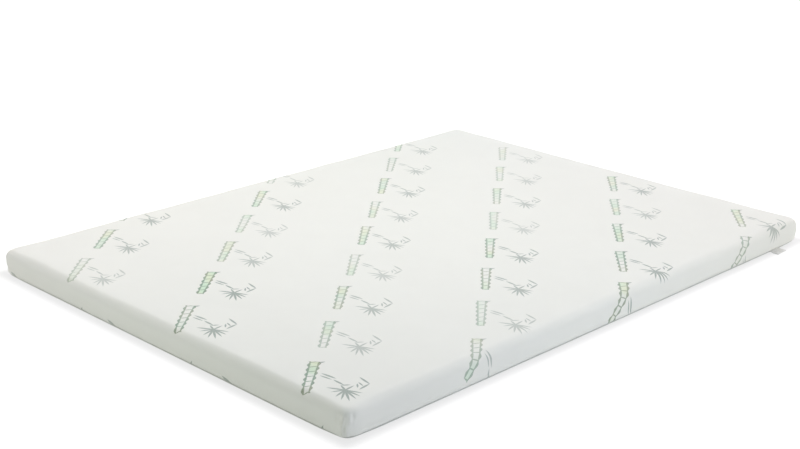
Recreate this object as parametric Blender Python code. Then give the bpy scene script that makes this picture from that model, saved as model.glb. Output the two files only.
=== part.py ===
"""Mattress topper: a foam slab in a stretch-knit cover, with an underside panel and a sewn-in label.

Frame: metres, +Z up, origin on the floor under the middle of the underside.
+X runs along the length, +Y along the width.
"""
import math

import bmesh
import bpy
from mathutils import Matrix, Vector

# Overall size along the bottom seam, and the height of the crown
LENGTH = 2.03
WIDTH = 1.53
HEIGHT = 0.08

# Underside panel, the gap between pieces, and how close two points count as level
PANEL_THICKNESS = 0.003
PANEL_INSET = 0.002
PIECE_GAP = 0.0003
LEVEL_TOLERANCE = 0.0001

# Rounding of the filled body
CORNER_RADIUS = 0.050
CORNER_SEGMENTS = 6
TOP_ROUNDING = 0.026
TOP_SEGMENTS = 6
BOTTOM_ROUNDING = 0.006
BOTTOM_SEGMENTS = 2
ROUND_PROFILE = 0.5
SHARP_ANGLE = math.radians(40.0)

# Spacing of the points that carry the soft shape
SPAN_STEP = 0.050
SIDE_LEVELS = (0.025, 0.038)

# Soft shape: how the foam fills the cover and the corner seams hold it up
CROWN = 0.003
SIDE_BULGE = 0.003
EDGE_REACH = 8
CORNER_LIFT = 0.003
CORNER_LIFT_REACH = 0.10
# Each side: how far the cover draws it in halfway between its corners, and its top edge down
SIDE_PULL = {
    "left": {"axis": 0, "sign": -1.0, "draw": 0.000, "drop": 0.0010},
    "right": {"axis": 0, "sign": 1.0, "draw": 0.006, "drop": 0.0020},
    "front": {"axis": 1, "sign": -1.0, "draw": 0.000, "drop": 0.0010},
    "back": {"axis": 1, "sign": 1.0, "draw": 0.008, "drop": 0.0025},
}
# Shallow waves of the knit along the top edge
EDGE_WAVES = (
    {"length": 0.46, "depth": 0.0012, "phase": 0.4},
    {"length": 0.21, "depth": 0.0009, "phase": 1.9},
)
# Low swells of the foam in the top, by their length along X and along Y
TOP_SWELLS = (
    {"x": 0.90, "y": 0.70, "height": 0.0008, "phase": 0.7},
    {"x": 0.47, "y": 0.58, "height": 0.0005, "phase": 2.1},
)

# Sewn-in label: a folded tab at the front side, near the right corner
LABEL_WIDTH = 0.052
LABEL_LENGTH = 0.030
LABEL_THICKNESS = 0.0014
LABEL_CENTRE_X = 0.874
LABEL_SKEW = math.radians(3.0)
LABEL_ROOT_HEIGHT = 0.0014
LABEL_DROP_LENGTH = 0.012
LABEL_RIPPLE = 0.0006
LABEL_STEPS_LONG = 8
LABEL_STEPS_WIDE = 6


def clear_scene():
    """Remove every object, so that the model starts empty."""
    for item in list(bpy.data.objects):
        bpy.data.objects.remove(item, do_unlink=True)


def make_material(name, colour, roughness):
    """Principled material of one cloth."""
    material = bpy.data.materials.new(name)
    material.use_nodes = True
    shader = material.node_tree.nodes["Principled BSDF"]
    shader.inputs["Base Color"].default_value = (*colour, 1.0)
    shader.inputs["Roughness"].default_value = roughness
    shader.inputs["Metallic"].default_value = 0.0
    return material


def make_object(name, shape, material):
    """Triangulate a finished bmesh and make it a named, smooth-shaded object."""
    bmesh.ops.triangulate(shape, faces=shape.faces)
    mesh = bpy.data.meshes.new(name)
    shape.to_mesh(mesh)
    shape.free()
    mesh.materials.append(material)
    mesh.shade_smooth()
    mesh.set_sharp_from_angle(angle=SHARP_ANGLE)
    item = bpy.data.objects.new(name, mesh)
    bpy.context.collection.objects.link(item)
    return item


def round_edges(shape, edges, radius, segments):
    """Round the given edges with one radius."""
    bmesh.ops.bevel(
        shape,
        geom=edges,
        offset=radius,
        segments=segments,
        profile=ROUND_PROFILE,
        affect="EDGES",
        material=-1,
    )


def is_level(points, height):
    """True where every point lies at one height."""
    return all(abs(point.co.z - height) < LEVEL_TOLERANCE for point in points)


def rounded_slab(length, width, low, high, corner_radius):
    """Closed slab with rounded upright corners, from height low to high."""
    slab = bmesh.new()
    bmesh.ops.create_cube(slab, size=1.0)
    bmesh.ops.scale(slab, vec=(length, width, high - low), verts=slab.verts)
    bmesh.ops.translate(slab, vec=(0.0, 0.0, (low + high) / 2.0), verts=slab.verts)
    level_edges = [edge for edge in slab.edges if is_level(edge.verts, low) or is_level(edge.verts, high)]
    upright = [edge for edge in slab.edges if edge not in level_edges]
    round_edges(slab, upright, corner_radius, CORNER_SEGMENTS)
    return slab


def round_rim(slab, height, radius, segments):
    """Round the horizontal rim of the slab that lies at one height."""
    rim = [edge for edge in slab.edges if is_level(edge.verts, height)]
    round_edges(slab, rim, radius, segments)


def cut_across(slab, axis, positions):
    """Cut the slab's faces at each position along one axis, to add points to shape."""
    normal = Vector((0.0, 0.0, 0.0))
    normal[axis] = 1.0
    for position in positions:
        bmesh.ops.bisect_plane(
            slab,
            geom=[*slab.verts, *slab.edges, *slab.faces],
            dist=LEVEL_TOLERANCE,
            plane_co=normal * position,
            plane_no=normal,
        )


def span_positions(size):
    """Evenly spaced cuts between the two rounded ends of a side."""
    reach = size / 2.0 - CORNER_RADIUS
    count = round(2.0 * reach / SPAN_STEP)
    return [-reach + 2.0 * reach * step / count for step in range(count + 1)]


def edge_weight(x, y, axis):
    """0 in the middle of the slab, 1 at the sides that face one axis."""
    half = (LENGTH / 2.0, WIDTH / 2.0)[axis]
    return min(abs((x, y)[axis]) / half, 1.0) ** EDGE_REACH


def between_corners(x, y, axis):
    """1 halfway along a side that faces one axis, 0 at its corners."""
    along, half = ((y, WIDTH / 2.0), (x, LENGTH / 2.0))[axis]
    return max(1.0 - (along / half) ** 2, 0.0)


def inner_share(x, y):
    """1 in the middle of the top, 0 along its edges."""
    return between_corners(x, y, 0) * between_corners(x, y, 1)


def edge_wave(x, y):
    """In and out movement of the knit along the top edge."""
    turn = 2.0 * math.pi * (x - y)
    return sum(wave["depth"] * math.sin(turn / wave["length"] + wave["phase"]) for wave in EDGE_WAVES)


def top_swell(x, y):
    """Slow rise and fall of the foam under the cover."""
    return sum(
        swell["height"]
        * math.sin(2.0 * math.pi * x / swell["x"] + swell["phase"])
        * math.cos(2.0 * math.pi * y / swell["y"] + swell["phase"])
        for swell in TOP_SWELLS
    )


def corner_weight(x, y):
    """1 at the tip of a corner, 0 from the lift's reach inwards."""
    distance = math.hypot(LENGTH / 2.0 - abs(x), WIDTH / 2.0 - abs(y))
    return max(1.0 - distance / CORNER_LIFT_REACH, 0.0) ** 2


def pulls_on(x, y):
    """The two sides that a point lies towards, each with its weight there."""
    for pull in SIDE_PULL.values():
        axis = pull["axis"]
        if (x, y)[axis] * pull["sign"] > 0.0:
            yield pull, edge_weight(x, y, axis), between_corners(x, y, axis)


def soft_plan(x, y, level):
    """Plan position of a point after the cover pulls on it; level is 0 at the floor, 1 at the top."""
    place = [x, y]
    swelling = SIDE_BULGE * math.sin(math.pi * level) + edge_wave(x, y) * level
    for pull, weight, middle in pulls_on(x, y):
        place[pull["axis"]] += pull["sign"] * weight * (swelling - pull["draw"] * middle)
    return place


def soft_height(x, y, level):
    """How far a body point rises from its square form; level is 0 at the seam, 1 at the top."""
    inner = inner_share(x, y)
    rise = top_swell(x, y) * inner - CROWN * (1.0 - inner)
    for pull, weight, middle in pulls_on(x, y):
        rise -= pull["drop"] * weight * middle
    return rise * level**2 + CORNER_LIFT * corner_weight(x, y) * (1.0 - level)


def merge_flat_faces(slab, height):
    """Join the cut-up faces of a flat side back into one face."""
    inner = [
        edge
        for edge in slab.edges
        if all(is_level(face.verts, height) for face in edge.link_faces)
    ]
    bmesh.ops.dissolve_edges(slab, edges=inner, use_verts=True)


def make_topper_body(material):
    """Filled cover: one closed solid from the underside panel to the crown."""
    low = PANEL_THICKNESS + PIECE_GAP
    body = rounded_slab(LENGTH, WIDTH, low, HEIGHT, CORNER_RADIUS)
    round_rim(body, HEIGHT, TOP_ROUNDING, TOP_SEGMENTS)
    round_rim(body, low, BOTTOM_ROUNDING, BOTTOM_SEGMENTS)
    cut_across(body, 0, span_positions(LENGTH))
    cut_across(body, 1, span_positions(WIDTH))
    cut_across(body, 2, SIDE_LEVELS)
    for vert in body.verts:
        x, y, z = vert.co
        vert.co.x, vert.co.y = soft_plan(x, y, z / HEIGHT)
        if not is_level([vert], low):
            vert.co.z += soft_height(x, y, (z - low) / (HEIGHT - low))
    merge_flat_faces(body, low)
    return make_object("topper_body", body, material)


def make_base_panel(material):
    """Underside cloth, cut to the outline of the body and sewn to its sides."""
    length = LENGTH - 2.0 * PANEL_INSET
    width = WIDTH - 2.0 * PANEL_INSET
    panel = rounded_slab(length, width, 0.0, PANEL_THICKNESS, CORNER_RADIUS - PANEL_INSET)
    cut_across(panel, 0, span_positions(LENGTH))
    cut_across(panel, 1, span_positions(WIDTH))
    for vert in panel.verts:
        vert.co.x, vert.co.y = soft_plan(vert.co.x, vert.co.y, 0.0)
    merge_flat_faces(panel, 0.0)
    merge_flat_faces(panel, PANEL_THICKNESS)
    return make_object("base_panel", panel, material)


def label_rise(across, from_root):
    """Height of the label's lower face: down from the seam to the floor, with one soft ripple."""
    dip = min(from_root / LABEL_DROP_LENGTH, 1.0)
    drop = LABEL_ROOT_HEIGHT * (1.0 + math.cos(math.pi * dip)) / 2.0
    hump = math.cos(math.pi * across / LABEL_WIDTH) ** 2
    return drop + LABEL_RIPPLE * hump * dip * from_root / LABEL_LENGTH


def make_care_label(material):
    """Blank folded tab: it leaves the bottom seam, dips to the floor and lies there."""
    label = bmesh.new()
    bmesh.ops.create_grid(label, x_segments=LABEL_STEPS_WIDE, y_segments=LABEL_STEPS_LONG, size=0.5)
    bmesh.ops.scale(label, vec=(LABEL_WIDTH, LABEL_LENGTH, 1.0), verts=label.verts)
    bmesh.ops.translate(label, vec=(0.0, -LABEL_LENGTH / 2.0, 0.0), verts=label.verts)
    raised = bmesh.ops.extrude_face_region(label, geom=list(label.faces))
    top_verts = [item for item in raised["geom"] if isinstance(item, bmesh.types.BMVert)]
    bmesh.ops.translate(label, vec=(0.0, 0.0, LABEL_THICKNESS), verts=top_verts)
    for vert in label.verts:
        vert.co.z += label_rise(vert.co.x, -vert.co.y)
    bmesh.ops.recalc_face_normals(label, faces=label.faces)
    skew_room = LABEL_WIDTH / 2.0 * math.sin(LABEL_SKEW)
    root_y = soft_plan(LABEL_CENTRE_X, PANEL_INSET - WIDTH / 2.0, 0.0)[1] - PIECE_GAP - skew_room
    place = Matrix.Translation((LABEL_CENTRE_X, root_y, 0.0)) @ Matrix.Rotation(LABEL_SKEW, 4, "Z")
    bmesh.ops.transform(label, matrix=place, verts=label.verts)
    return make_object("care_label", label, material)


def main():
    """Build the three pieces."""
    clear_scene()
    knit = make_material("printed_knit", (0.86, 0.87, 0.83), 0.85)
    backing = make_material("underside_cloth", (0.62, 0.62, 0.60), 0.90)
    satin = make_material("label_satin", (0.90, 0.90, 0.90), 0.55)
    make_topper_body(knit)
    make_base_panel(backing)
    make_care_label(satin)


main()
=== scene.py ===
"""Mattress topper: printed knit cover over its foam, underside cloth, seam and sewn-in label.

Metres, +Z up. The origin is on the floor under the middle of the underside, +X runs along the length.
"""

from math import atan2, cos, exp, hypot, pi, radians, sin, sqrt

import bmesh
import bpy
from bpy.props import FloatProperty, FloatVectorProperty, IntProperty, PointerProperty
from mathutils import Matrix, Vector, noise


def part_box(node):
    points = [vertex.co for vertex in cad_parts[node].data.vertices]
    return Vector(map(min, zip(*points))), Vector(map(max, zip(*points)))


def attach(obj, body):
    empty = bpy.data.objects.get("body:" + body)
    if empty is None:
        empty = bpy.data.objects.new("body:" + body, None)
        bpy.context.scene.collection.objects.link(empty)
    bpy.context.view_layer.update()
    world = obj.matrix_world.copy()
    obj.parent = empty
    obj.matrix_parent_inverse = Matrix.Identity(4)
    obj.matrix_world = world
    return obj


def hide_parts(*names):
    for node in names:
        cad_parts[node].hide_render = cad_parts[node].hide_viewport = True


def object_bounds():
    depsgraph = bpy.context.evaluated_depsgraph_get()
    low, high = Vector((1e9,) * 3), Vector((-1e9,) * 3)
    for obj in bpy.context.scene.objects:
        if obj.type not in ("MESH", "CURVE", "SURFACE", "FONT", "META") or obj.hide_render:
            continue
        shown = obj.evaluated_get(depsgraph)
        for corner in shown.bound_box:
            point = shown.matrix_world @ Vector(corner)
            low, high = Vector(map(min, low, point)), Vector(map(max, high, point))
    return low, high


bl_info = {
    "name": "Mattress Topper",
    "version": (1, 0, 0),
    "blender": (4, 5, 0),
    "location": "View3D > Sidebar > Topper",
    "description": "Dresses a foam mattress topper in its printed knit cover",
    "category": "Object",
}

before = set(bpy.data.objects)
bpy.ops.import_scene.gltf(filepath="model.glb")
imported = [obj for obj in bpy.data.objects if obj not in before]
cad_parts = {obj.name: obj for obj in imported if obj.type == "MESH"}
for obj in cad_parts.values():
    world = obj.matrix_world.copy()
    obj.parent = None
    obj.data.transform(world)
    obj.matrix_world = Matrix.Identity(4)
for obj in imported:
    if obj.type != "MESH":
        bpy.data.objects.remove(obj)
FRAME_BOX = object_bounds()
PANEL_LOW, PANEL_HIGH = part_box("base_panel")
BODY_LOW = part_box("topper_body")[0]
LABEL_LOW, LABEL_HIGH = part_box("care_label")

BODY = "root"
PLAN_MAP = "cloth_plan"

# Size along the bottom seam; the underside cloth is cut this far inside it, all round
PANEL_INSET = 0.002
LENGTH = 2.0 * (PANEL_INSET - PANEL_LOW.x)
WIDTH = 2.0 * (PANEL_INSET - PANEL_LOW.y)
HEIGHT = 0.08
CORNER_RADIUS = 0.050
TOP_ROUNDING = 0.026
BOTTOM_ROUNDING = 0.006
ROUND_PROFILE = 0.5
NEAR = 0.0001

# Soft shape: how the foam fills the cover and the corner seams hold it up
CROWN = 0.0015
SIDE_BULGE = 0.003
EDGE_REACH = 8
CORNER_LIFT = 0.003
CORNER_LIFT_REACH = 0.10
CORNER_PULL_REACH = 0.13
# Each side: how far the cover draws it in halfway between its corners, and its top edge down
SIDE_PULL = {
    "left": {"axis": 0, "sign": -1.0, "draw": 0.000, "drop": 0.0010},
    "right": {"axis": 0, "sign": 1.0, "draw": 0.002, "drop": 0.0000},
    "front": {"axis": 1, "sign": -1.0, "draw": 0.000, "drop": 0.0010},
    "back": {"axis": 1, "sign": 1.0, "draw": 0.003, "drop": -0.0010},
}
# Shallow waves of the knit along the top edge
EDGE_WAVES = (
    {"length": 0.46, "depth": 0.0012, "phase": 0.4},
    {"length": 0.21, "depth": 0.0009, "phase": 1.9},
)
# Cloth that lies over each metre of the sides, which stretch it downwards and its print with it
SIDE_STRETCH = 0.80
# Low swells of the foam in the top, by their length along X and along Y
TOP_SWELLS = (
    {"x": 0.90, "y": 0.70, "height": 0.0008, "phase": 0.7},
    {"x": 0.47, "y": 0.58, "height": 0.0005, "phase": 2.1},
)
# Uneven slack of the knit over the foam, by the size of its hollows
SLACK = (
    {"size": 0.150, "depth": 0.0011},
    {"size": 0.060, "depth": 0.0005},
)
# Corners by the quarter they stand in. Lean, aside, bend and phase: how the upright seam stands and wanders
# along the side. Square and crisp: how square the corner is from above and its top edge in section, where 2
# is round. Tuck: height over which its foot curls in. Lift: how much farther its foot stands off the floor.
CORNERS = {
    (-1, -1): {
        "lean": 0.0030, "aside": -0.0055, "bend": 0.0012, "phase": 0.3,
        "square": 3.8, "crisp": 3.4, "tuck": 0.012, "lift": 0.0,
    },
    (1, -1): {
        "lean": -0.0025, "aside": 0.0, "bend": 0.0010, "phase": 2.0,
        "square": 3.7, "crisp": 3.8, "tuck": 0.010, "lift": 0.0010,
    },
    (1, 1): {
        "lean": 0.0020, "aside": 0.0, "bend": 0.0012, "phase": 4.1,
        "square": 2.8, "crisp": 3.0, "tuck": 0.012, "lift": 0.0,
    },
    (-1, 1): {
        "lean": -0.0030, "aside": 0.0, "bend": 0.0009, "phase": 5.2,
        "square": 3.2, "crisp": 2.8, "tuck": 0.007, "lift": 0.0,
    },
}
# Height of one wander of an upright seam, and the size of the crumples beside it
BEND_HEIGHT = 0.045
CRUMPLE = {"wide": 0.018, "tall": 0.008}
# Where each corner reads the crumples from, so that no two are alike
CRUMPLE_PLACE = (5.3, 3.1)
# Size of the gathers along the bottom seam; they are deepest at this height and fade over as much again
GATHER_SIZE = 0.022
GATHER_HEIGHT = 0.012
# Height over which the slack of the knit grows from none at the bottom seam
SLACK_START = 0.03
# Cross section of the cover beside the bottom seam: a thin rolled lip with a shallow furrow above it
BOTTOM_SEAM = (
    {"height": 0.0085, "push": 0.0011, "spread": 0.0034},
    {"height": 0.0160, "push": -0.0008, "spread": 0.0045},
)
# Folds beside one corner's seam: place along the side from it, height, reach along it, reach up and depth
FOLDED_CORNER = (-1, -1)
FOLDS = (
    (0.0085, 0.056, 0.0028, 0.014, 0.0018),
    (0.0150, 0.060, 0.0035, 0.012, -0.0010),
    (-0.0130, 0.015, 0.0110, 0.0035, 0.0020),
    (-0.0150, 0.022, 0.0120, 0.0040, -0.0018),
    (-0.0120, 0.058, 0.0040, 0.0100, -0.0020),
    (-0.0210, 0.050, 0.0040, 0.0130, -0.0018),
    (-0.0175, 0.040, 0.0050, 0.0070, 0.0016),
)
# Heights of the cuts that carry the side's shape, close together beside the bottom seam
SIDE_LEVELS = (0.0110, 0.0130, 0.0155, 0.0190, 0.0240, 0.0300, 0.0360, 0.0420, 0.0480)

# Print, by its place on the flat cloth: the first cane, and the two steps that repeat it
PRINT_ORIGIN = (-1.1445, -0.7205, 0.0)
PRINT_ALONG = Vector((0.2011, 0.1627, 0.0))
PRINT_ACROSS = Vector((0.0, 0.5120, 0.0))
# How the print pales over the cloth: the direction, where it starts and ends along it, and the least of it
PALING = {"direction": (0.45, 0.45, 0.0), "start": -0.6, "end": 0.7, "least": 0.5}
# How the ink takes. Weakest: the palest repeats. Thin: what is left in the hollows of the fuzz. Full: level
# of the fuzz that takes all of it. Soft: blur of a cane's edges in metres, and of a leaf's as a share.
INK = {"weakest": 0.55, "thin": 0.2, "full": 0.6, "cane_soft": 0.0010, "leaf_soft": 0.3}
# Half width of a cane at its joints and between them, as shares of its width, and its taper per metre
JOINT_SHARE = 0.43
SWELL_SHARE = 0.50
CANE_TAPER = 0.02
# Outline of a cane at its joints, and the ring of a joint, as shares of the line at its sides
THIN_SHARE = 0.40
RING_SHARE = 0.417
# Patches per metre: clouds in the knit (110 mm), greens along the canes (90 mm), bare canes (170 mm)
CLOUDS = 9.0
GREENS = 11.0
BARE_PATCHES = 6.0
# Levels of the patches between which one green turns into the other, and a tint into bare cloth
GREEN_BLEND = (0.62, 0.38)
BARE_BLEND = (0.58, 0.38)
# Fuzz of the knit, drawn 2.4 mm apart: real fibres are far finer and wouldn't show
FUZZ = 420.0
# One sprig, measured from the middle of its cane: x and y of a root, direction in degrees, length and width
SPRIG = (
    (0.031, -0.005, 276, 0.050, 0.0066),
    (0.020, -0.012, 277, 0.040, 0.0050),
    (0.027, -0.053, 266, 0.044, 0.0062),
    (0.011, -0.124, 118, 0.056, 0.0062),
    (0.015, -0.121, 152, 0.045, 0.0056),
    (0.015, -0.115, 194, 0.050, 0.0064),
    (0.014, -0.112, 217, 0.062, 0.0060),
    (0.012, -0.110, 237, 0.069, 0.0066),
    (0.010, -0.109, 255, 0.064, 0.0060),
    (0.007, -0.109, 274, 0.058, 0.0062),
    (0.004, -0.110, 295, 0.054, 0.0056),
    (0.002, -0.118, 6, 0.039, 0.0056),
    (0.005, -0.124, 69, 0.037, 0.0056),
    (0.017, -0.090, 323, 0.026, 0.0050),
    (0.033, -0.139, 8, 0.042, 0.0066),
    (0.073, -0.136, 78, 0.050, 0.0062),
    (0.038, -0.129, 49, 0.024, 0.0048),
    (0.054, -0.132, 74, 0.026, 0.0045),
    (0.056, 0.049, 338, 0.030, 0.0076),
)

# Camera: where it stands, its heading from +X, its tilt below the horizon and its slight lean, in degrees
CAMERA_PLACE = (-3.0945, -2.9977, 1.6098)
CAMERA_HEADING = 44.769
CAMERA_TILT = 19.246
CAMERA_LEAN = 0.530
# Soft boxes that face the topper's middle: direction from +X and rise above the floor in degrees, distance,
# side length, power in watts and colour. The low ones hang and measure alike.
LOW_BOX = {"rise": 18, "away": 3.2, "size": 1.2}
LAMPS = (
    {**LOW_BOX, "turn": 0, "power": 23.1, "colour": "#fff3fd"},
    {**LOW_BOX, "turn": 45, "power": 13.8, "colour": "#def8ff"},
    {**LOW_BOX, "turn": 90, "power": 22.1, "colour": "#fff6d4"},
    {**LOW_BOX, "turn": 135, "power": 4.5, "colour": "#ffe0c3"},
    {**LOW_BOX, "turn": 180, "power": 11.5, "colour": "#efffe7"},
    {**LOW_BOX, "turn": 270, "power": 24.6, "colour": "#e6f0ff"},
    {**LOW_BOX, "turn": 315, "power": 10.7, "colour": "#fff1ce"},
    {"turn": 135, "rise": 40, "away": 3.2, "size": 1.8, "power": 18.4, "colour": "#ebe6ff"},
    {"turn": 0, "rise": 90, "away": 2.2, "size": 1.2, "power": 16.6, "colour": "#fefffa"},
)
# A window, lit as from far away: its direction, rise and spread in degrees, strength and colour
WINDOW = {"turn": 0, "rise": 25, "away": 3.0, "spread": 50, "strength": 1.18, "colour": "#f2f1ff"}
LIGHT_TARGET = Vector((0.0, 0.0, 0.05))


def linear(code):
    """Linear red, green and blue of an sRGB hex colour."""
    channels = [int(code[start : start + 2], 16) / 255.0 for start in (1, 3, 5)]
    return tuple(c / 12.92 if c <= 0.04045 else ((c + 0.055) / 1.055) ** 2.4 for c in channels)


# ---------------------------------------------------------------- settings


def length_setting(name, description, default):
    """Setting that is a length, in metres."""
    return FloatProperty(name=name, description=description, default=default, unit="LENGTH")


def colour_setting(name, description, code):
    """Setting that is a colour, from its hex code."""
    return FloatVectorProperty(name=name, description=description, default=linear(code), subtype="COLOR")


class CoverSettings(bpy.types.PropertyGroup):
    """Knit cover: its mesh, its seams and its colour."""

    step: length_setting("Cut Spacing", "Distance between the cuts across the cover", 0.010)
    corner_segments: IntProperty(
        name="Corner Segments", description="Even number of faces round a corner", default=48, min=8
    )
    top_segments: IntProperty(
        name="Top Segments", description="Faces over the rounding of the top edge", default=10, min=2
    )
    bottom_segments: IntProperty(
        name="Bottom Segments", description="Faces over the rounding of the bottom edge", default=3, min=1
    )
    groove: length_setting("Seam Groove", "Depth of the upright corner seams", 0.0020)
    groove_width: length_setting("Groove Width", "Reach of the groove to each side", 0.0020)
    pucker: length_setting("Pucker", "Depth of the puckers beside the corner seams", 0.0013)
    pucker_reach: length_setting("Pucker Reach", "How far the puckers run from a corner seam", 0.020)
    ridge: length_setting("Seam Ridge", "How far the two sides meet proud at a corner", 0.0020)
    ridge_width: length_setting("Ridge Width", "Reach of the seam ridge to each side", 0.015)
    gather: length_setting("Gather", "Depth of the gathers along the bottom seam", 0.0008)
    colour: colour_setting("Knit Colour", "Undyed knit", "#f0f1eb")


class PrintSettings(bpy.types.PropertyGroup):
    """Repeat printed on the cover: a jointed cane with a leafy sprig beside it."""

    cane_turn: FloatProperty(
        name="Cane Turn", description="Direction of the canes", default=radians(41.0), subtype="ANGLE"
    )
    cane_length: length_setting("Cane Length", "Length of one cane", 0.168)
    cane_width: length_setting("Cane Width", "Width of a cane between its joints", 0.027)
    joint_spacing: length_setting("Joint Spacing", "Distance between the joints of a cane", 0.028)
    joint_slant: FloatProperty(
        name="Joint Slant", description="How far the joints run along the cane over its width", default=0.35
    )
    line: length_setting("Line", "Half width of a ring's outline at its sides", 0.0042)
    cane_colour: colour_setting("Cane Colour", "Lines of the canes", "#5f8468")
    young_colour: colour_setting("Young Colour", "Lines of the younger canes", "#7d8a68")
    fill_colour: colour_setting("Cane Tint", "Pale tint inside the canes", "#c6e3c8")
    young_fill_colour: colour_setting("Young Tint", "Pale tint inside the younger canes", "#dfe8c8")
    sprig_colour: colour_setting("Sprig Colour", "Leaves and twigs", "#82928a")


class TrimSettings(bpy.types.PropertyGroup):
    """Underside cloth, seam thread and label."""

    panel_rounding: length_setting("Panel Rounding", "Rounding of the underside cloth's edge", 0.0010)
    # Greyer than the knit: partly the cloth's own colour, partly painted shade that darkens the line along
    # the bottom seam
    panel_colour: colour_setting("Underside Colour", "Plain underside cloth", "#d2d4cf")
    stitch_spacing: length_setting("Stitch Spacing", "Distance between the seam's stitches", 0.0055)
    thread_width: length_setting("Thread Width", "Thickness of the sewing thread", 0.0008)
    thread_colour: colour_setting("Thread Colour", "Sewing thread", "#e0e2dc")
    label_width: length_setting("Label Width", "Width of the satin tape", 0.052)
    label_length: length_setting("Label Length", "How far the folded label stands out", 0.030)
    label_skew: FloatProperty(
        name="Label Skew", description="Turn of the label in its seam", default=radians(3.0), subtype="ANGLE"
    )
    tape_thickness: length_setting("Tape Thickness", "Thickness of the satin tape", 0.0004)
    label_colour: colour_setting("Label Colour", "Blank satin tape", "#e6e6e3")


class StageSettings(bpy.types.PropertyGroup):
    """Floor, light and camera."""

    floor_size: length_setting("Floor Size", "Side length of the floor", 40.0)
    floor_gap: length_setting("Floor Gap", "How far the floor lies under the topper", 0.0003)
    paper_colour: colour_setting("Paper Colour", "Paper floor under its own shade", "#6c6c6c")
    # Near glow, far glow and shade reach paint a shade round the topper into the paper's glow
    near_glow: FloatProperty(
        name="Near Glow", description="Light of the paper at the topper", default=0.71, min=0.0
    )
    far_glow: FloatProperty(
        name="Far Glow", description="Light of the paper farther away", default=1.0, min=0.0
    )
    shade_reach: length_setting("Shade Reach", "How far the shade round the topper runs", 0.066)
    bounce_colour: colour_setting("Bounce Colour", "Floor as the topper sees it", "#bcbcbc")
    bounce_glow: FloatProperty(
        name="Bounce Glow", description="Light that the floor throws up", default=0.27, min=0.0
    )
    room: FloatProperty(name="Room", description="Brightness of the room all round", default=0.20, min=0.0)
    lens: FloatProperty(
        name="Lens", description="Focal length of the camera", default=65.098, unit="CAMERA"
    )


class TopperSettings(bpy.types.PropertyGroup):
    """Everything that a user may change."""

    cover: PointerProperty(type=CoverSettings)
    pattern: PointerProperty(type=PrintSettings)
    trim: PointerProperty(type=TrimSettings)
    stage: PointerProperty(type=StageSettings)


# ---------------------------------------------------------------- shape of the filled cover


def smooth(value):
    """Soft step from 0 to 1."""
    value = min(max(value, 0.0), 1.0)
    return value * value * (3.0 - 2.0 * value)


def bell(distance, width):
    """1 at no distance, falling softly towards 0 past the width."""
    return exp(-((distance / width) ** 2))


def edge_weight(x, y, axis):
    """0 in the middle of the slab, 1 at the sides that face one axis."""
    half = (LENGTH / 2.0, WIDTH / 2.0)[axis]
    return min(abs((x, y)[axis]) / half, 1.0) ** EDGE_REACH


def between_corners(x, y, axis):
    """1 halfway along a side that faces one axis, 0 at its corners."""
    along, half = ((y, WIDTH / 2.0), (x, LENGTH / 2.0))[axis]
    return max(1.0 - (along / half) ** 2, 0.0)


def edge_wave(x, y):
    """In and out movement of the knit along the top edge."""
    turn = 2.0 * pi * (x - y)
    return sum(wave["depth"] * sin(turn / wave["length"] + wave["phase"]) for wave in EDGE_WAVES)


def top_swell(x, y):
    """Slow rise and fall of the foam under the cover."""
    return sum(
        swell["height"]
        * sin(2.0 * pi * x / swell["x"] + swell["phase"])
        * cos(2.0 * pi * y / swell["y"] + swell["phase"])
        for swell in TOP_SWELLS
    )


def corner_weight(x, y):
    """1 at the tip of a corner, 0 from the lift's reach inwards."""
    distance = hypot(LENGTH / 2.0 - abs(x), WIDTH / 2.0 - abs(y))
    return max(1.0 - distance / CORNER_LIFT_REACH, 0.0) ** 2


def pulls_on(x, y):
    """The two sides that a point lies towards, each with its weight there."""
    for pull in SIDE_PULL.values():
        axis = pull["axis"]
        if (x, y)[axis] * pull["sign"] > 0.0:
            yield pull, edge_weight(x, y, axis), between_corners(x, y, axis)


def soft_plan(x, y, level):
    """Plan position of a point after the cover pulls on it; level is 0 at the floor, 1 at the top."""
    place = Vector((x, y, 0.0))
    swelling = SIDE_BULGE * sin(pi * level) + edge_wave(x, y) * level
    for pull, weight, middle in pulls_on(x, y):
        place[pull["axis"]] += pull["sign"] * weight * (swelling - pull["draw"] * middle)
    return place


def soft_height(x, y, level):
    """How far a point rises from its square form; level is 0 at the seam, 1 at the top."""
    inner = between_corners(x, y, 0) * between_corners(x, y, 1)
    rise = top_swell(x, y) * inner - CROWN * (1.0 - inner)
    for pull, weight, middle in pulls_on(x, y):
        rise -= pull["drop"] * weight * middle
    return rise * level**2 + CORNER_LIFT * corner_weight(x, y) * (1.0 - level)


def edge_station(x, y):
    """Nearest point of the rectangle between the corner centres, and the way out from it to the point."""
    reach_x = LENGTH / 2.0 - CORNER_RADIUS
    reach_y = WIDTH / 2.0 - CORNER_RADIUS
    anchor = Vector((max(-reach_x, min(x, reach_x)), max(-reach_y, min(y, reach_y)), 0.0))
    return anchor, Vector((x, y, 0.0)) - anchor


def turn_from_x(away):
    """Angle of a corner point from the side that faces X, 0 to 90 degrees in radians."""
    return atan2(abs(away.y), abs(away.x))


def squarer(turn, power):
    """How much farther out a squarer corner lies than a round one of radius 1, by the angle round it."""
    return (cos(turn) ** power + sin(turn) ** power) ** (-1.0 / power) - 1.0


def quarter_of(x, y):
    """The quarter of the plan that a point stands in, as the signs of its X and Y."""
    return (1 if x > 0.0 else -1, 1 if y > 0.0 else -1)


def corner_pull(x, y):
    """1 at the tip of a corner, 0 where its seam no longer pulls on the edges."""
    to_tip = hypot(LENGTH / 2.0 - abs(x), WIDTH / 2.0 - abs(y))
    return smooth(1.0 - to_tip / CORNER_PULL_REACH)


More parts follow.
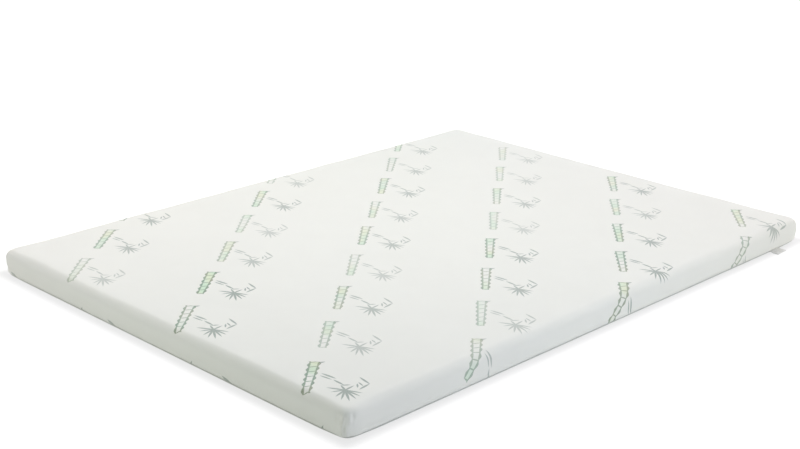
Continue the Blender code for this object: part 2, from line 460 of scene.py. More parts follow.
def corner_push(x, y, z):
    """How far a corner stands out from a round one: it is squarer from above, and its foot curls in."""
    corner = CORNERS[quarter_of(x, y)]
    foot = max(1.0 - z / corner["tuck"], 0.0)
    push = -corner["tuck"] * (1.0 - sqrt(1.0 - foot * foot)) * corner_pull(x, y)
    away = edge_station(x, y)[1]
    if min(abs(away.x), abs(away.y)) > NEAR:
        push += CORNER_RADIUS * squarer(turn_from_x(away), corner["square"])
    return push


def seam_line(point, z):
    """Final place of a point of the bottom seam's outline, at a height near the floor."""
    place = soft_plan(point.x, point.y, z / HEIGHT)
    place += edge_station(point.x, point.y)[1].normalized() * corner_push(point.x, point.y, BODY_LOW.z)
    lift = CORNER_LIFT + CORNERS[quarter_of(point.x, point.y)]["lift"]
    place.z = z + lift * corner_weight(point.x, point.y)
    return place


def seam_relief(away, z, cover):
    """Outward push and sideways shift of the knit near the upright seam of its corner."""
    turn = turn_from_x(away)
    off_seam = CORNER_RADIUS * (turn - pi / 4.0)
    quarter = quarter_of(away.x, away.y)
    corner = CORNERS[quarter]
    upright = 1.0 - smooth((z - HEIGHT + TOP_ROUNDING) / TOP_ROUNDING)
    groove = bell(off_seam, cover.groove_width)
    apart = quarter[0] * CRUMPLE_PLACE[0] + off_seam / CRUMPLE["wide"]
    crumple = noise.noise(Vector((apart, quarter[1] * CRUMPLE_PLACE[1], z / CRUMPLE["tall"])))
    push = upright * 2.0 * cover.pucker * crumple * bell(off_seam, cover.pucker_reach) * (1.0 - groove)
    ridge = cover.ridge * max(1.0 - abs(off_seam) / cover.ridge_width, 0.0)
    push += upright * (ridge - cover.groove * groove)
    if quarter == FOLDED_CORNER:
        for along, height, wide, tall, depth in FOLDS:
            push += depth * bell(off_seam - along, wide) * bell(z - height, tall)
    lean = corner["lean"] * (2.0 * z / HEIGHT - 1.0) + corner["aside"]
    lean += corner["bend"] * sin(2.0 * pi * z / BEND_HEIGHT + corner["phase"])
    sideways = Vector((-quarter[0] * sin(turn), quarter[1] * cos(turn), 0.0))
    return push, sideways * lean * smooth(1.0 - abs(off_seam) / (CORNER_RADIUS * pi / 4.0))


def cover_point(point, cover):
    """Final place of a point of the cover's square form."""
    x, y, z = point
    level = z / HEIGHT
    place = soft_plan(x, y, level)
    place.z = z
    if z > BODY_LOW.z + NEAR:
        place.z += soft_height(x, y, (z - BODY_LOW.z) / (HEIGHT - BODY_LOW.z))
    away = edge_station(x, y)[1]
    beyond = away.length - CORNER_RADIUS + TOP_ROUNDING
    side = smooth(beyond / TOP_ROUNDING)
    slack = sum(row["depth"] * noise.noise(point / row["size"]) for row in SLACK)
    push = slack * smooth(z / SLACK_START)
    gathers = noise.noise(Vector((x / GATHER_SIZE, y / GATHER_SIZE, 0.5)))
    push += cover.gather * gathers * bell(z - GATHER_HEIGHT, GATHER_HEIGHT)
    push += sum(row["push"] * bell(z - row["height"], row["spread"]) for row in BOTTOM_SEAM)
    push += corner_push(x, y, z)
    if min(abs(away.x), abs(away.y)) > NEAR:
        seam_push, shift = seam_relief(away, z, cover)
        push += seam_push
        place += shift * side
    out = away.normalized()
    place += out * push * side
    place.z += slack * (1.0 - side) * level
    above = z - HEIGHT + TOP_ROUNDING
    if above > 0.0 and beyond > 0.0:
        tilt = atan2(beyond, above)
        reach = TOP_ROUNDING * squarer(tilt, CORNERS[quarter_of(x, y)]["crisp"]) * corner_pull(x, y)
        place += reach * (out * sin(tilt) + Vector((0.0, 0.0, cos(tilt))))
    place.z += CORNERS[quarter_of(x, y)]["lift"] * corner_weight(x, y) * (1.0 - level)
    return place


def cloth_plan(point, toward):
    """Where a point lies on the flat cloth, before the sides are folded down and the corners sewn.

    Toward is the middle of the point's face, which tells on what side of a corner seam it lies.
    """
    anchor, away = edge_station(point.x, point.y)
    flat_reach = CORNER_RADIUS - TOP_ROUNDING
    reach = away.length
    if reach <= flat_reach + NEAR and point.z > HEIGHT - NEAR:
        return point.x, point.y
    above = point.z - HEIGHT + TOP_ROUNDING
    if above > 0.0:
        fold = TOP_ROUNDING * atan2(max(reach - flat_reach, 0.0), above)
    else:
        fold = TOP_ROUNDING * pi / 2.0 - above * SIDE_STRETCH
    out = away.normalized()
    place = anchor + out * (flat_reach + fold)
    if min(abs(away.x), abs(away.y)) > NEAR:
        turn = turn_from_x(away)
        sign_x = 1.0 if away.x > 0.0 else -1.0
        sign_y = 1.0 if away.y > 0.0 else -1.0
        if turn_from_x(edge_station(toward.x, toward.y)[1]) < pi / 4.0:
            panel = Vector((sign_x * (flat_reach + fold), sign_y * CORNER_RADIUS * turn, 0.0))
        else:
            panel = Vector((sign_x * CORNER_RADIUS * (pi / 2.0 - turn), sign_y * (flat_reach + fold), 0.0))
        place = place.lerp(anchor + panel, smooth(fold / (TOP_ROUNDING * pi / 2.0)))
    return place.x, place.y


# ---------------------------------------------------------------- mesh tools


def round_edges(shape, edges, radius, segments):
    """Round the given edges with one radius."""
    bmesh.ops.bevel(
        shape,
        geom=edges,
        offset=radius,
        segments=segments,
        profile=ROUND_PROFILE,
        affect="EDGES",
        material=-1,
    )


def is_level(points, height):
    """True where every point lies at one height."""
    return all(abs(point.co.z - height) < NEAR for point in points)


def rounded_slab(length, width, low, high, corner_radius, corner_segments):
    """Closed slab with rounded upright corners, from height low to high."""
    slab = bmesh.new()
    bmesh.ops.create_cube(slab, size=1.0)
    bmesh.ops.scale(slab, vec=(length, width, high - low), verts=slab.verts)
    bmesh.ops.translate(slab, vec=(0.0, 0.0, (low + high) / 2.0), verts=slab.verts)
    upright = [edge for edge in slab.edges if not is_level(edge.verts, edge.verts[0].co.z)]
    round_edges(slab, upright, corner_radius, corner_segments)
    return slab


def round_rim(slab, height, radius, segments):
    """Round the horizontal rim of the slab that lies at one height."""
    rim = [edge for edge in slab.edges if is_level(edge.verts, height)]
    round_edges(slab, rim, radius, segments)


def cut_across(slab, axis, positions):
    """Cut the slab's faces at each position along one axis, to add points to shape."""
    normal = Vector((0.0, 0.0, 0.0))
    normal[axis] = 1.0
    for position in positions:
        bmesh.ops.bisect_plane(
            slab,
            geom=[*slab.verts, *slab.edges, *slab.faces],
            dist=NEAR,
            plane_co=normal * position,
            plane_no=normal,
        )


def span_positions(size, step):
    """Evenly spaced cuts between the two rounded ends of a side."""
    reach = size / 2.0 - CORNER_RADIUS
    count = round(2.0 * reach / step)
    return [-reach + 2.0 * reach * index / count for index in range(count + 1)]


def merge_flat_faces(slab, height):
    """Join the cut-up faces of a flat side back into one face."""
    inner = [edge for edge in slab.edges if all(is_level(face.verts, height) for face in edge.link_faces)]
    bmesh.ops.dissolve_edges(slab, edges=inner, use_verts=True)


def finish_piece(name, shape, material):
    """Turn a closed bmesh into a smooth-shaded piece that rides on the part."""
    if any(not edge.is_manifold for edge in shape.edges):
        raise RuntimeError(f"{name}: its mesh isn't closed")
    mesh = bpy.data.meshes.new(name)
    shape.to_mesh(mesh)
    shape.free()
    mesh.materials.append(material)
    mesh.shade_smooth()
    piece = bpy.data.objects.new(name, mesh)
    bpy.context.scene.collection.objects.link(piece)
    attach(piece, BODY)
    return piece


# ---------------------------------------------------------------- materials


def add_node(tree, kind, inputs=(), result=0, **settings):
    """Add a node with its settings and links, and return one output; inputs go in order or by key."""
    node = tree.nodes.new("ShaderNode" + kind)
    for name, value in settings.items():
        setattr(node, name, value)
    for key, value in inputs.items() if isinstance(inputs, dict) else enumerate(inputs):
        if isinstance(value, bpy.types.NodeSocket):
            tree.links.new(value, node.inputs[key])
        else:
            node.inputs[key].default_value = value
    return node.outputs[result]


# A soft step of a Map Range node, and the setting and sockets of a colour Mix node
SOFT = {"interpolation_type": "SMOOTHSTEP"}
COLOURS = {"data_type": "RGBA"}
MIX_A = 6
MIX_B = 7
MIX_RESULT = 2


def new_material(name, roughness, sheen):
    """Material with one Principled shader; returns it, its tree and the shader."""
    material = bpy.data.materials.new(name)
    material.use_nodes = True
    shader = material.node_tree.nodes["Principled BSDF"]
    shader.inputs["Roughness"].default_value = roughness
    shader.inputs["Sheen Weight"].default_value = sheen
    return material, material.node_tree, shader


def opaque(colour, share=1.0):
    """Share of a colour, with an alpha of 1."""
    return (*[share * part for part in colour], 1.0)


def print_repeat(tree, plan):
    """Place of a point measured from the middle of its own cane, and the number of that repeat."""
    area = PRINT_ALONG.x * PRINT_ACROSS.y - PRINT_ALONG.y * PRINT_ACROSS.x
    counters = (
        (PRINT_ALONG, Vector((PRINT_ACROSS.y, -PRINT_ACROSS.x, 0.0)) / area),
        (PRINT_ACROSS, Vector((-PRINT_ALONG.y, PRINT_ALONG.x, 0.0)) / area),
    )
    whole = add_node(tree, "VectorMath", (plan, PRINT_ORIGIN), operation="SUBTRACT")
    place = whole
    numbers = []
    for step, counter in counters:
        steps = add_node(tree, "VectorMath", (whole, counter), "Value", operation="DOT_PRODUCT")
        number = add_node(tree, "Math", (steps,), operation="ROUND")
        place = add_node(tree, "VectorMath", (number, -step, place), operation="MULTIPLY_ADD")
        numbers.append(number)
    return place, add_node(tree, "CombineXYZ", numbers)


def sprig_drawing(tree, place):
    """Leaves and twigs of one sprig; the result is below 1 inside them."""
    far_outside = 9.0
    nearest = far_outside
    for x, y, direction, length, width in SPRIG:
        turn = radians(direction)
        half = length / 2.0
        inputs = {
            "Vector": place,
            "Location": (x + half * cos(turn), y + half * sin(turn), 0.0),
            "Rotation": (0.0, 0.0, turn),
            "Scale": (half, width / 2.0, 1.0),
        }
        local = add_node(tree, "Mapping", inputs, vector_type="TEXTURE")
        along, aside = (add_node(tree, "SeparateXYZ", (local,), axis) for axis in "XY")
        across = add_node(tree, "Math", (aside,), operation="ABSOLUTE")
        blade = add_node(tree, "Math", (along, along, across), operation="MULTIPLY_ADD")
        nearest = add_node(tree, "Math", (blade, nearest), operation="MINIMUM")
    return nearest


def cane_drawing(tree, place, pattern):
    """Rings of one cane, and its whole area; both are below 0 inside, in metres."""
    half_joint = pattern.joint_spacing / 2.0
    inputs = {"Vector": place, "Rotation": (0.0, 0.0, pattern.cane_turn)}
    local = add_node(tree, "Mapping", inputs, vector_type="TEXTURE")
    along, aside = (add_node(tree, "SeparateXYZ", (local,), axis) for axis in "XY")
    across = add_node(tree, "Math", (aside,), operation="ABSOLUTE")
    # The joints run aslant, so the two edges of the cane swell by turns
    slanted = add_node(tree, "Math", (aside, pattern.joint_slant, along), operation="MULTIPLY_ADD")
    from_joint = add_node(tree, "Math", (slanted, half_joint), operation="PINGPONG")
    # Between two joints the cane is a flattened ring, drawn heavily at its sides and thinly at the joints
    share = add_node(tree, "MapRange", (from_joint, 0.0, half_joint, JOINT_SHARE, SWELL_SHARE), **SOFT)
    inputs = (share, pattern.cane_width, -pattern.line / 2.0)
    half_width = add_node(tree, "Math", inputs, operation="MULTIPLY_ADD")
    half_width = add_node(tree, "Math", (along, CANE_TAPER, half_width), operation="MULTIPLY_ADD")
    beyond = add_node(tree, "Math", (across, half_width), operation="SUBTRACT")
    off_edge = add_node(tree, "Math", (beyond,), operation="ABSOLUTE")
    inputs = (from_joint, 0.0, half_joint, THIN_SHARE * pattern.line, pattern.line)
    weight = add_node(tree, "MapRange", inputs, **SOFT)
    outline = add_node(tree, "Math", (off_edge, weight), operation="SUBTRACT")
    ring = add_node(tree, "Math", (from_joint, RING_SHARE * pattern.line), operation="SUBTRACT")
    ring = add_node(tree, "Math", (ring, beyond), operation="MAXIMUM")
    lines = add_node(tree, "Math", (outline, ring), operation="MINIMUM")
    off_middle = add_node(tree, "Math", (along,), operation="ABSOLUTE")
    inputs = (off_middle, (pattern.cane_length + pattern.line) / 2.0)
    past_end = add_node(tree, "Math", inputs, operation="SUBTRACT")
    lines = add_node(tree, "Math", (lines, past_end), operation="MAXIMUM")
    area = add_node(tree, "Math", (beyond, past_end), operation="MAXIMUM")
    return lines, area


# Wales of the knit: the real ones are about 1.2 mm apart, drawn twice as coarse to show in a close view
KNIT_PITCH = 0.0026
# Stitches to the width of a wale, slant of a stitch's legs, and height of the stitches over the wales
STITCHES = {"rows": 1.3, "slant": 1.4, "height": 0.5}
# Height of the fuzz over the stitches
FUZZ_HEIGHT = 0.6


def knit_relief(tree, plan):
    """Height of jersey stitches, small V shapes in upright rows."""
    inputs = {"Vector": plan, "Scale": (1.0 / KNIT_PITCH, STITCHES["rows"] / KNIT_PITCH, 1.0)}
    rows = add_node(tree, "Mapping", inputs)
    across, along = (add_node(tree, "SeparateXYZ", (rows,), axis) for axis in "XY")
    leg = add_node(tree, "Math", (across, 0.5), operation="PINGPONG")
    slanted = add_node(tree, "Math", (leg, STITCHES["slant"], along), operation="MULTIPLY_ADD")
    turned = add_node(tree, "Math", (slanted, 2.0 * pi), operation="MULTIPLY")
    stitch = add_node(tree, "Math", (turned,), operation="SINE")
    return add_node(tree, "Math", (stitch, STITCHES["height"], leg), operation="MULTIPLY_ADD")


def printed_knit(cover, pattern):
    """Printed jersey of polyester and viscose: matt and softly fuzzy, its lines broken up by the fuzz."""
    material, tree, shader = new_material("printed_jersey_knit", roughness=0.85, sheen=0.20)
    plan = add_node(tree, "UVMap", uv_map=PLAN_MAP)
    place, number = print_repeat(tree, plan)
    relief = knit_relief(tree, plan)
    cloudy = add_node(tree, "TexNoise", {"Vector": plan, "Scale": CLOUDS, "Detail": 3.0})
    inputs = {0: cloudy, MIX_A: opaque(cover.colour), MIX_B: opaque(cover.colour, share=0.975)}
    undyed = add_node(tree, "Mix", inputs, MIX_RESULT, **COLOURS)
    # The ink takes unevenly: each repeat is weaker or stronger, and the fuzz breaks its lines up
    chance = add_node(tree, "TexWhiteNoise", {"Vector": number}, "Value", noise_dimensions="3D")
    strength = add_node(tree, "MapRange", (chance, 0.0, 1.0, INK["weakest"], 1.0), **SOFT)
    fuzz = add_node(tree, "TexNoise", {"Vector": plan, "Scale": FUZZ, "Detail": 2.0})
    taken = add_node(tree, "MapRange", (fuzz, 0.0, INK["full"], INK["thin"], 1.0), **SOFT)
    ink = add_node(tree, "Math", (strength, taken), operation="MULTIPLY")
    # The print pales from the corner with the folds to the one across from it
    paler = add_node(tree, "VectorMath", (plan, PALING["direction"]), "Value", operation="DOT_PRODUCT")
    paler = add_node(tree, "MapRange", (paler, PALING["start"], PALING["end"], 1.0, PALING["least"]))
    ink = add_node(tree, "Math", (ink, paler), operation="MULTIPLY")
    # Greens and yellow greens run into each other along the canes
    blend = add_node(tree, "TexNoise", {"Vector": plan, "Scale": GREENS, "Detail": 1.0})
    blend = add_node(tree, "MapRange", (blend, *GREEN_BLEND), **SOFT)
    inputs = {0: blend, MIX_A: opaque(pattern.cane_colour), MIX_B: opaque(pattern.young_colour)}
    cane = add_node(tree, "Mix", inputs, MIX_RESULT, **COLOURS)
    inputs = {0: blend, MIX_A: opaque(pattern.fill_colour), MIX_B: opaque(pattern.young_fill_colour)}
    tint = add_node(tree, "Mix", inputs, MIX_RESULT, **COLOURS)
    # Some canes are hardly tinted at all
    bare = add_node(tree, "TexNoise", {"Vector": plan, "Scale": BARE_PATCHES, "Detail": 1.0})
    bare = add_node(tree, "MapRange", (bare, *BARE_BLEND), **SOFT)
    tint = add_node(tree, "Mix", {0: bare, MIX_A: tint, MIX_B: undyed}, MIX_RESULT, **COLOURS)
    lines, area = cane_drawing(tree, place, pattern)
    colour = undyed
    for drawing, edge, softness, dye in (
        (sprig_drawing(tree, place), 1.0, INK["leaf_soft"], opaque(pattern.sprig_colour)),
        (area, 0.0, INK["cane_soft"], tint),
        (lines, 0.0, INK["cane_soft"], cane),
    ):
        inside = add_node(tree, "MapRange", (drawing, edge + softness, edge - softness), **SOFT)
        inked = add_node(tree, "Math", (inside, ink), operation="MULTIPLY")
        colour = add_node(tree, "Mix", {0: inked, MIX_A: colour, MIX_B: dye}, MIX_RESULT, **COLOURS)
    tree.links.new(colour, shader.inputs["Base Color"])
    height = add_node(tree, "Math", (fuzz, FUZZ_HEIGHT, relief), operation="MULTIPLY_ADD")
    bump = add_node(tree, "Bump", {"Strength": 0.5, "Distance": 0.0004, "Height": height})
    tree.links.new(bump, shader.inputs["Normal"])
    return material


def woven_cloth(name, colour, roughness, sheen, pitch, depth):
    """Plain cloth of crossed threads on Object coordinates, by its thread spacing and relief."""
    material, tree, shader = new_material(name, roughness, sheen)
    place = add_node(tree, "TexCoord", result="Object")
    threads = []
    for direction in ("X", "Y"):
        # At a scale of 1 the bands of a wave lie 0.1 pi apart
        inputs = {"Vector": place, "Scale": 0.1 * pi / pitch, "Distortion": 0.4}
        threads.append(add_node(tree, "TexWave", inputs, "Fac", bands_direction=direction))
    height = add_node(tree, "Math", threads, operation="MAXIMUM")
    cloudy = add_node(tree, "TexNoise", {"Vector": place, "Scale": 14.0, "Detail": 4.0})
    inputs = {0: cloudy, MIX_A: opaque(colour), MIX_B: opaque(colour, share=0.93)}
    tint = add_node(tree, "Mix", inputs, MIX_RESULT, **COLOURS)
    # The hollows between the threads are painted darker: painted shade in the weave
    inputs = {0: height, MIX_A: opaque(colour, share=0.85), MIX_B: tint}
    tint = add_node(tree, "Mix", inputs, MIX_RESULT, **COLOURS)
    tree.links.new(tint, shader.inputs["Base Color"])
    bump = add_node(tree, "Bump", {"Strength": 0.6, "Distance": depth, "Height": height})
    tree.links.new(bump, shader.inputs["Normal"])
    return material


def matt_paper(name, colour):
    """Matt paper with a faint grain; returns the material, its tree and the shader."""
    material, tree, shader = new_material(name, roughness=0.9, sheen=0.0)
    place = add_node(tree, "TexCoord", result="Object")
    grain = add_node(tree, "TexNoise", {"Vector": place, "Scale": 40.0})
    inputs = {0: grain, MIX_A: opaque(colour), MIX_B: opaque(colour, share=0.98)}
    tint = add_node(tree, "Mix", inputs, MIX_RESULT, **COLOURS)
    tree.links.new(tint, shader.inputs["Base Color"])
    return material, tree, shader


def lit_paper(stage):
    """White paper that glows as if lit through from behind: pure white but for a painted shade round the
    topper's outline.
    """
    material, tree, shader = matt_paper("lit_white_paper", stage.paper_colour)
    place = add_node(tree, "TexCoord", result="Object")
    place = add_node(tree, "VectorMath", (place,), operation="ABSOLUTE")
    half_size = (LENGTH / 2.0, WIDTH / 2.0, 0.0)
    past_side = add_node(tree, "VectorMath", (place, half_size), operation="SUBTRACT")
    past_side = add_node(tree, "VectorMath", (past_side,), operation="MAXIMUM")
    away = add_node(tree, "VectorMath", (past_side,), "Value", operation="LENGTH")
    # The glow is dimmer near the outline: the shade round the topper is painted into the paper's light
    inputs = (away, 0.0, stage.shade_reach, stage.near_glow, stage.far_glow)
    glow = add_node(tree, "MapRange", inputs, **SOFT)
    tree.links.new(glow, shader.inputs["Emission Strength"])
    shader.inputs["Emission Color"].default_value = (1.0, 1.0, 1.0, 1.0)
    return material


def dull_paper(stage):
    """The floor as it lights the topper from below: greyer than the camera sees it, with an even glow."""
    material, _, shader = matt_paper("dull_paper", stage.bounce_colour)
    shader.inputs["Emission Color"].default_value = (1.0, 1.0, 1.0, 1.0)
    shader.inputs["Emission Strength"].default_value = stage.bounce_glow
    return material


# ---------------------------------------------------------------- pieces


class TOPPER_OT_cover(bpy.types.Operator):
    """Model the filled knit cover with its crown, rolled bottom lip and sewn corners"""

    bl_idname = "topper.cover"
    bl_label = "Knit Cover"

    def execute(self, context):
        cover = context.scene.topper.cover
        low = BODY_LOW.z
        body = rounded_slab(LENGTH, WIDTH, low, HEIGHT, CORNER_RADIUS, cover.corner_segments)
        round_rim(body, HEIGHT, TOP_ROUNDING, cover.top_segments)
        round_rim(body, low, BOTTOM_ROUNDING, cover.bottom_segments)
        cut_across(body, 0, span_positions(LENGTH, cover.step))
        cut_across(body, 1, span_positions(WIDTH, cover.step))
        cut_across(body, 2, SIDE_LEVELS)
        merge_flat_faces(body, low)
        plan = body.loops.layers.uv.new(PLAN_MAP)
        for face in body.faces:
            middle = face.calc_center_median()
            for loop in face.loops:
                loop[plan].uv = cloth_plan(loop.vert.co, middle)
        for vert in body.verts:
            vert.co = cover_point(vert.co, cover)
        material = printed_knit(cover, context.scene.topper.pattern)
        piece = finish_piece("knit_cover", body, material)
        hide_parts("topper_body")
        return {"FINISHED"}


class TOPPER_OT_underside(bpy.types.Operator):
    """Model the underside cloth, cut to the cover's outline"""

    bl_idname = "topper.underside"
    bl_label = "Underside Cloth"

    def execute(self, context):
        trim = context.scene.topper.trim
        # Flat cloth needs fewer cuts than the cover
        step = 5.0 * context.scene.topper.cover.step
        length = LENGTH - 2.0 * PANEL_INSET
        width = WIDTH - 2.0 * PANEL_INSET
        radius = CORNER_RADIUS - PANEL_INSET
        panel = rounded_slab(length, width, PANEL_LOW.z, PANEL_HIGH.z, radius, corner_segments=16)
        for height in (PANEL_LOW.z, PANEL_HIGH.z):
            round_rim(panel, height, trim.panel_rounding, segments=2)
        cut_across(panel, 0, span_positions(LENGTH, step))
        cut_across(panel, 1, span_positions(WIDTH, step))
        for vert in panel.verts:
            vert.co = seam_line(vert.co, vert.co.z)
        # Brushed polyester: dull and soft, its threads drawn 3 mm apart so that they show
        weave = {"roughness": 0.9, "sheen": 0.15, "pitch": 0.0030, "depth": 0.0003}
        # Its grey also paints the shade along the bottom seam
        material = woven_cloth("brushed_tricot", trim.panel_colour, **weave)
        piece = finish_piece("underside_cloth", panel, material)
        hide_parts("base_panel")
        return {"FINISHED"}


def seam_stations(spacing, inset):
    """Evenly spaced places along the bottom seam, each with its outward direction as an angle."""
    reach_x = LENGTH / 2.0 - CORNER_RADIUS
    reach_y = WIDTH / 2.0 - CORNER_RADIUS
    radius = CORNER_RADIUS - inset
    sides = (
        (Vector((reach_x, -reach_y, 0.0)), 2.0 * reach_y),
        (Vector((reach_x, reach_y, 0.0)), 2.0 * reach_x),
        (Vector((-reach_x, reach_y, 0.0)), 2.0 * reach_y),
        (Vector((-reach_x, -reach_y, 0.0)), 2.0 * reach_x),
    )
    for index, (centre, straight) in enumerate(sides):
        facing = index * pi / 2.0
        steps = round(radius * pi / 2.0 / spacing)
        for step in range(steps):
            angle = facing - pi / 2.0 * (1.0 - step / steps)
            yield centre + radius * Vector((cos(angle), sin(angle), 0.0)), angle
        out = Vector((cos(facing), sin(facing), 0.0))
        forward = Vector((-sin(facing), cos(facing), 0.0))
        steps = round(straight / spacing)
        for step in range(steps):
            yield centre + radius * out + forward * straight * step / steps, facing


class TOPPER_OT_seam(bpy.types.Operator):
    """Sew the underside cloth to the cover with a row of short slanted stitches"""

    bl_idname = "topper.seam"
    bl_label = "Bottom Seam"

    def execute(self, context):
        trim = context.scene.topper.trim
        stitch_length = 0.0052
        middle_height = 0.0042
        slant = radians(24.0)
        size = Matrix.Diagonal((trim.thread_width / 2.0, trim.thread_width / 2.0, stitch_length / 2.0, 1.0))
        shape = bmesh.new()
        bmesh.ops.create_uvsphere(shape, u_segments=6, v_segments=4, radius=1.0, matrix=size)
        stitch = bpy.data.meshes.new("stitch")
        shape.to_mesh(stitch)
        shape.free()
        thread = bmesh.new()
        for point, angle in seam_stations(trim.stitch_spacing, PANEL_INSET):
            place = seam_line(point, middle_height)
            turn = Matrix.Rotation(angle, 4, "Z") @ Matrix.Rotation(slant, 4, "X")
            sewn = stitch.copy()
            sewn.transform(Matrix.Translation(place) @ turn)
            thread.from_mesh(sewn)
            bpy.data.meshes.remove(sewn)
        bpy.data.meshes.remove(stitch)
        # Spun polyester thread: a little smoother than the cloth, so the row of stitches catches some light
        weave = {"roughness": 0.6, "sheen": 0.1, "pitch": 0.0008, "depth": 0.0001}
        material = woven_cloth("polyester_thread", trim.thread_colour, **weave)
        finish_piece("seam_stitches", thread, material)
        return {"FINISHED"}


def label_height(across, out, trim):
    """Height of the label's lower face: down from the seam to the floor, with one soft ripple."""
    root_height = 0.0031
    drop_length = 0.012
    ripple = 0.0007
    dip = min(max(out / drop_length, 0.0), 1.0)
    drop = root_height * (1.0 + cos(pi * dip)) / 2.0
    hump = cos(pi * across / trim.label_width) ** 2
    return drop + ripple * hump * dip * out / trim.label_length


class TOPPER_OT_label(bpy.types.Operator):
    """Model the blank satin label, folded double and caught in the bottom seam"""

    bl_idname = "topper.label"
    bl_label = "Sewn-in Label"

    def execute(self, context):
        trim = context.scene.topper.trim
        bend = 0.0005
        tuck = 0.0010
        reach = trim.label_length - bend - trim.tape_thickness
        whole = 2.0 * (reach + tuck) + pi * bend
        tape = bmesh.new()
        bmesh.ops.create_grid(tape, x_segments=16, y_segments=64, size=0.5)
        for vert in tape.verts:
            across = vert.co.x * trim.label_width
            run = (vert.co.y + 0.5) * whole - tuck
            turn = min(max((run - reach) / bend, 0.0), pi)
            out = run if run < reach else max(reach - (run - reach - pi * bend), -tuck)
            if 0.0 < turn < pi:
                out = reach + bend * sin(turn)
            height = label_height(across, min(out, reach), trim) + bend * (1.0 + cos(turn))
            vert.co = Vector((across, -out, height + trim.tape_thickness / 2.0))
        bmesh.ops.recalc_face_normals(tape, faces=tape.faces)
        bmesh.ops.solidify(tape, geom=tape.faces, thickness=trim.tape_thickness)
        bmesh.ops.recalc_face_normals(tape, faces=tape.faces)
        low = min(vert.co.z for vert in tape.verts)
        root_y = LABEL_HIGH.y - trim.label_width / 2.0 * sin(trim.label_skew)
        middle_x = (LABEL_LOW.x + LABEL_HIGH.x - trim.label_length * sin(trim.label_skew)) / 2.0
        place = Matrix.Translation((middle_x, root_y, LABEL_LOW.z - low))
        place = place @ Matrix.Rotation(trim.label_skew, 4, "Z")
        bmesh.ops.transform(tape, matrix=place, verts=tape.verts)
        # Satin tape: smooth, with a soft shine, its threads drawn 1 mm apart so that they show
        weave = {"roughness": 0.45, "sheen": 0.1, "pitch": 0.0010, "depth": 0.0001}
        material = woven_cloth("polyester_satin", trim.label_colour, **weave)
        piece = finish_piece("sewn_label", tape, material)
        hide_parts("care_label")
        return {"FINISHED"}


def lay_floor(name, stage, height, material):
    """Flat square floor that isn't part of the object."""
    ground = bmesh.new()
    bmesh.ops.create_grid(ground, x_segments=1, y_segments=1, size=stage.floor_size / 2.0)
    bmesh.ops.translate(ground, vec=(0.0, 0.0, height), verts=ground.verts)
    mesh = bpy.data.meshes.new(name)
    ground.to_mesh(mesh)
    ground.free()
    mesh.materials.append(material)
    floor = bpy.data.objects.new(name, mesh)
    bpy.context.scene.collection.objects.link(floor)
    return floor


class TOPPER_OT_stage(bpy.types.Operator):
    """Set up the white floor, the soft light and the camera"""

    bl_idname = "topper.stage"
    bl_label = "Stage"

    def execute(self, context):
        scene = context.scene
        stage = scene.topper.stage
        # The camera sees bright paper, while a duller floor just under it lights the topper
        floor = lay_floor("floor", stage, FRAME_BOX[0].z - stage.floor_gap, lit_paper(stage))
        floor.visible_diffuse = False
        floor.visible_glossy = False
        floor.visible_shadow = False
        bounce = lay_floor("bounce_floor", stage, FRAME_BOX[0].z - 2.0 * stage.floor_gap, dull_paper(stage))
        bounce.visible_camera = False
        for index, row in enumerate(LAMPS):
            lamp = bpy.data.lights.new(f"soft_box_{index}", "AREA")
            lamp.size = row["size"]
            lamp.energy = row["power"]
            hang_lamp(lamp, row)
        lamp = bpy.data.lights.new("window", "SUN")
        lamp.angle = radians(WINDOW["spread"])
        lamp.energy = WINDOW["strength"]
        hang_lamp(lamp, WINDOW)
        light_room(scene, stage)
        lens = bpy.data.cameras.new("camera")
        lens.lens = stage.lens
        camera = bpy.data.objects.new("camera", lens)
        heading = Matrix.Rotation(radians(CAMERA_HEADING - 90.0), 4, "Z")
        tilt = Matrix.Rotation(radians(90.0 - CAMERA_TILT), 4, "X")
        lean = Matrix.Rotation(radians(CAMERA_LEAN), 4, "Z")
        camera.matrix_world = Matrix.Translation(CAMERA_PLACE) @ heading @ tilt @ lean
        scene.collection.objects.link(camera)
        scene.camera = camera
        # White paper stays pure white, as a studio print shows it
        scene.view_settings.view_transform = "Standard"
        return {"FINISHED"}


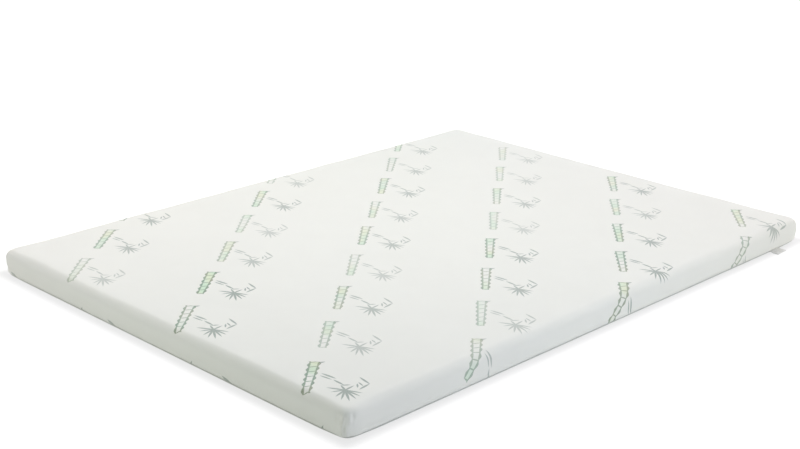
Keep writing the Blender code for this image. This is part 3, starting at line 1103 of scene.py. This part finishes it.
def hang_lamp(lamp, row):
    """Colour a lamp and hang it by its row, facing the topper and hidden from the camera."""
    lamp.color = linear(row["colour"])
    turn = radians(row["turn"])
    rise = radians(row["rise"])
    toward = Vector((cos(turn) * cos(rise), sin(turn) * cos(rise), sin(rise)))
    holder = bpy.data.objects.new(lamp.name, lamp)
    holder.location = row["away"] * toward
    holder.rotation_euler = (LIGHT_TARGET - holder.location).to_track_quat("-Z", "Y").to_euler()
    holder.visible_camera = False
    bpy.context.scene.collection.objects.link(holder)


def light_room(scene, stage):
    """Pale room, equally bright all round."""
    room = bpy.data.worlds.new("studio_room")
    room.use_nodes = True
    background = room.node_tree.nodes["Background"]
    background.inputs["Color"].default_value = (1.0, 1.0, 1.0, 1.0)
    background.inputs["Strength"].default_value = stage.room
    scene.world = room


class TOPPER_PT_panel(bpy.types.Panel):
    """Sizes, colours and steps of the mattress topper"""

    bl_idname = "TOPPER_PT_panel"
    bl_label = "Mattress Topper"
    bl_space_type = "VIEW_3D"
    bl_region_type = "UI"
    bl_category = "Topper"

    def draw(self, context):
        layout = self.layout
        settings = context.scene.topper
        groups = (
            (settings.cover, (TOPPER_OT_cover,)),
            (settings.pattern, ()),
            (settings.trim, (TOPPER_OT_underside, TOPPER_OT_seam, TOPPER_OT_label)),
            (settings.stage, (TOPPER_OT_stage,)),
        )
        for group, operators in groups:
            column = layout.column(align=True)
            for name in type(group).__annotations__:
                column.prop(group, name)
            for operator in operators:
                column.operator(operator.bl_idname)


CLASSES = (
    CoverSettings,
    PrintSettings,
    TrimSettings,
    StageSettings,
    TopperSettings,
    TOPPER_OT_cover,
    TOPPER_OT_underside,
    TOPPER_OT_seam,
    TOPPER_OT_label,
    TOPPER_OT_stage,
    TOPPER_PT_panel,
)


def register():
    """Add the settings, operators and panel."""
    for item in CLASSES:
        bpy.utils.register_class(item)
    bpy.types.Scene.topper = PointerProperty(type=TopperSettings)


def unregister():
    """Take the settings, operators and panel away."""
    del bpy.types.Scene.topper
    for item in reversed(CLASSES):
        bpy.utils.unregister_class(item)


def main():
    """Build every piece and the stage."""
    register()
    bpy.ops.topper.stage()
    bpy.ops.topper.cover()
    bpy.ops.topper.underside()
    bpy.ops.topper.seam()
    bpy.ops.topper.label()


if __name__ == "__main__":
    main()
